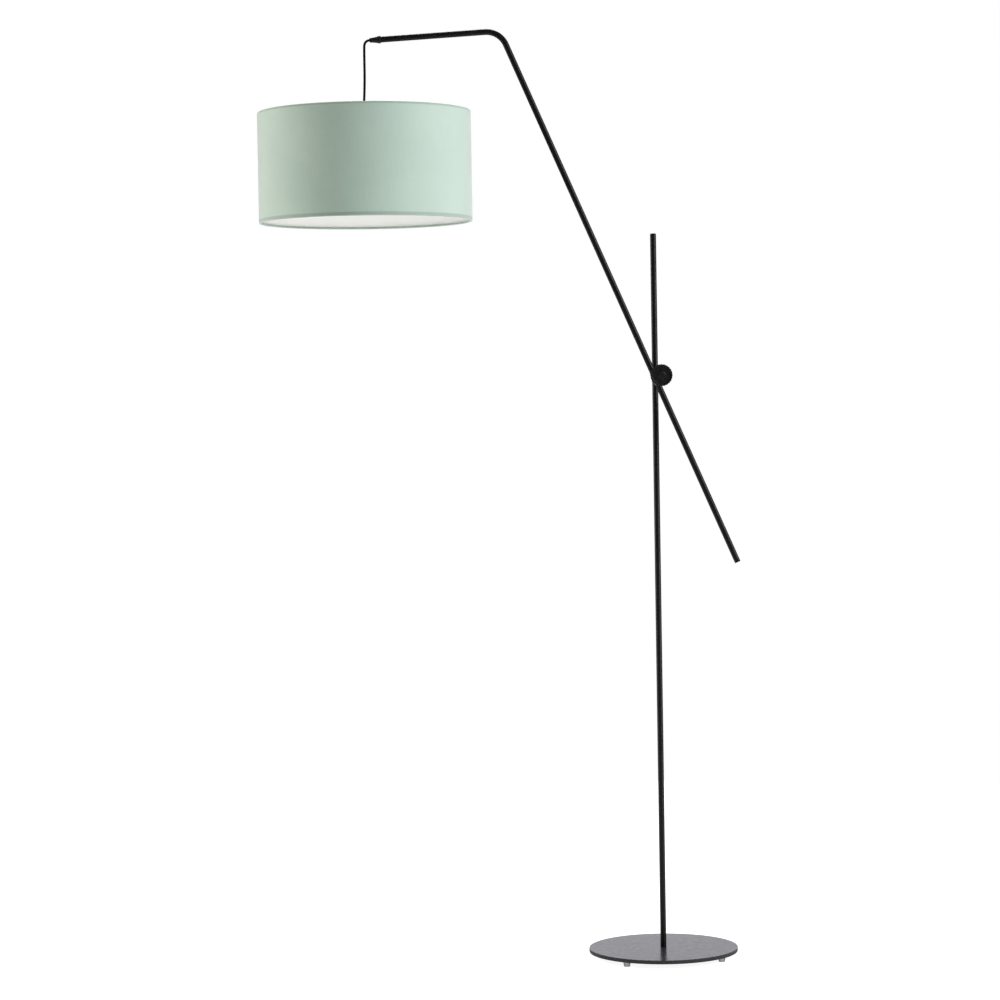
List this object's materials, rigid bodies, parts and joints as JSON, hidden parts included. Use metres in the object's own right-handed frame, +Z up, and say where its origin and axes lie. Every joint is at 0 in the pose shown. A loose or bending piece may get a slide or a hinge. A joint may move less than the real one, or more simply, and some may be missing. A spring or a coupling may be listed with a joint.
{
  "type": "adjustable arm floor lamp",
  "caption": "Floor lamp with a drum shade hung from a bent arm that slides and tilts in a knob clamp on a straight pole over a round base plate.",
  "frame": {"origin": "on the floor, under the middle of the lamp's overall box; the pole's axis is 328.9 mm along +X and 22.2 mm along +Y from it", "axes": "+Z up; the shade hangs towards -X; the knob faces -Y"},
  "size_m": [1.0037, 0.45, 1.9677],
  "materials": {
    "black_paint": "fine black powder coat, satin",
    "plate_paint": "fine dark grey powder coat, satin",
    "black_casting": "black powder coat on a die casting",
    "black_plastic": "moulded, fine matte texture",
    "nylon": "plain moulded",
    "fibre": "pressed fibre",
    "steel": "zinc plated",
    "nickel": "nickel plated",
    "brass": "bright",
    "ceramic": "glazed",
    "clear_bumper": "clear polyurethane",
    "black_cord": "black sheathed flex, matte",
    "white_wire": "white paint",
    "mint_fabric": "plain woven cotton laminated to a backing",
    "white_lining": "white laminate",
    "white_plastic": "moulded",
    "opal": "opal diffuser"
  },
  "bodies": {
    "base": {"base_plate": "plate_paint", "base_foot_1": "clear_bumper", "base_foot_2": "clear_bumper", "base_foot_3": "clear_bumper", "base_foot_4": "clear_bumper", "base_bolt": "steel", "pole_threaded_plug": "steel", "pole_tube": "black_paint", "pole_end_cap": "black_plastic"},
    "pole_sleeve": {"pole_liner": "nylon"},
    "clamp_carriage": {"pole_jaw_rear": "black_casting", "pole_jaw_front": "black_casting", "clamp_nut": "steel", "friction_washer": "fibre"},
    "arm_clamp": {"arm_jaw_rear": "black_casting", "arm_jaw_front": "black_casting", "arm_liner": "nylon"},
    "arm": {"arm_tube": "black_paint", "arm_cable_bush": "black_plastic", "cord_strain_relief": "black_plastic"},
    "knob_thrust": {"thrust_washer": "steel"},
    "knob": {"clamp_knob": "black_plastic", "knob_cap": "black_plastic", "clamp_bolt": "steel"},
    "cord": {"pendant_cord": "black_cord"},
    "cord_joint": {"cord_seal_ring": "black_cord"},
    "pendant": {"cord_grip": "black_plastic", "lampholder_cap": "black_plastic", "lampholder_body": "black_plastic", "contact_insulator": "ceramic", "centre_contact": "brass", "screw_shell": "brass", "shade_collar_upper": "black_plastic", "shade_collar_lower": "black_plastic", "shade_spider": "white_wire", "shade_top_wire": "white_wire", "shade_bottom_wire": "white_wire", "shade_cover": "mint_fabric", "shade_lining": "white_lining", "bulb_screw_cap": "nickel", "bulb_housing": "white_plastic", "bulb_globe": "opal"}
  },
  "joints": [
    {"name": "clamp_height", "type": "slide", "parent": "base", "child": "pole_sleeve", "axis": [0, 0, 1], "range_m": [-0.5, 0.25]},
    {"name": "clamp_swivel", "type": "hinge", "parent": "pole_sleeve", "child": "clamp_carriage", "pos_m": [0.32892, 0.0222, 1.234], "axis": [0, 0, 1], "continuous": true},
    {"name": "arm_tilt", "type": "hinge", "parent": "clamp_carriage", "child": "arm_clamp", "pos_m": [0.33992, 0.0222, 1.234], "axis": [0, 1, 0], "range_deg": [-32, 18]},
    {"name": "arm_reach", "type": "slide", "parent": "arm_clamp", "child": "arm", "axis": [-0.3955, 0, 0.9184], "range_m": [-0.25, 0.35]},
    {"name": "knob_travel", "type": "slide", "parent": "clamp_carriage", "child": "knob_thrust", "axis": [0, -1, 0], "range_m": [0, 0.0015]},
    {"name": "knob_turn", "type": "hinge", "parent": "knob_thrust", "child": "knob", "pos_m": [0.33992, -0.02, 1.234], "axis": [0, -1, 0], "range_deg": [0, 540]},
    {"name": "cord_bend", "type": "hinge", "parent": "arm", "child": "cord", "pos_m": [-0.26243, 0, 1.94783], "axis": [0, 1, 0], "range_deg": [-18.5, 32.5]},
    {"name": "swing_side", "type": "hinge", "parent": "cord", "child": "cord_joint", "pos_m": [-0.27653, 0, 1.80863], "axis": [1, 0, 0], "range_deg": [-12, 12]},
    {"name": "swing_long", "type": "hinge", "parent": "cord_joint", "child": "pendant", "pos_m": [-0.27653, 0, 1.80863], "axis": [0, 1, 0], "range_deg": [-12, 12]}
  ],
  "couplings": [
    {"joint": "cord_bend", "follows": "arm_tilt", "ratio": -1},
    {"joint": "knob_travel", "follows": "knob_turn", "m_per_rad": 0.00015915}
  ]
}
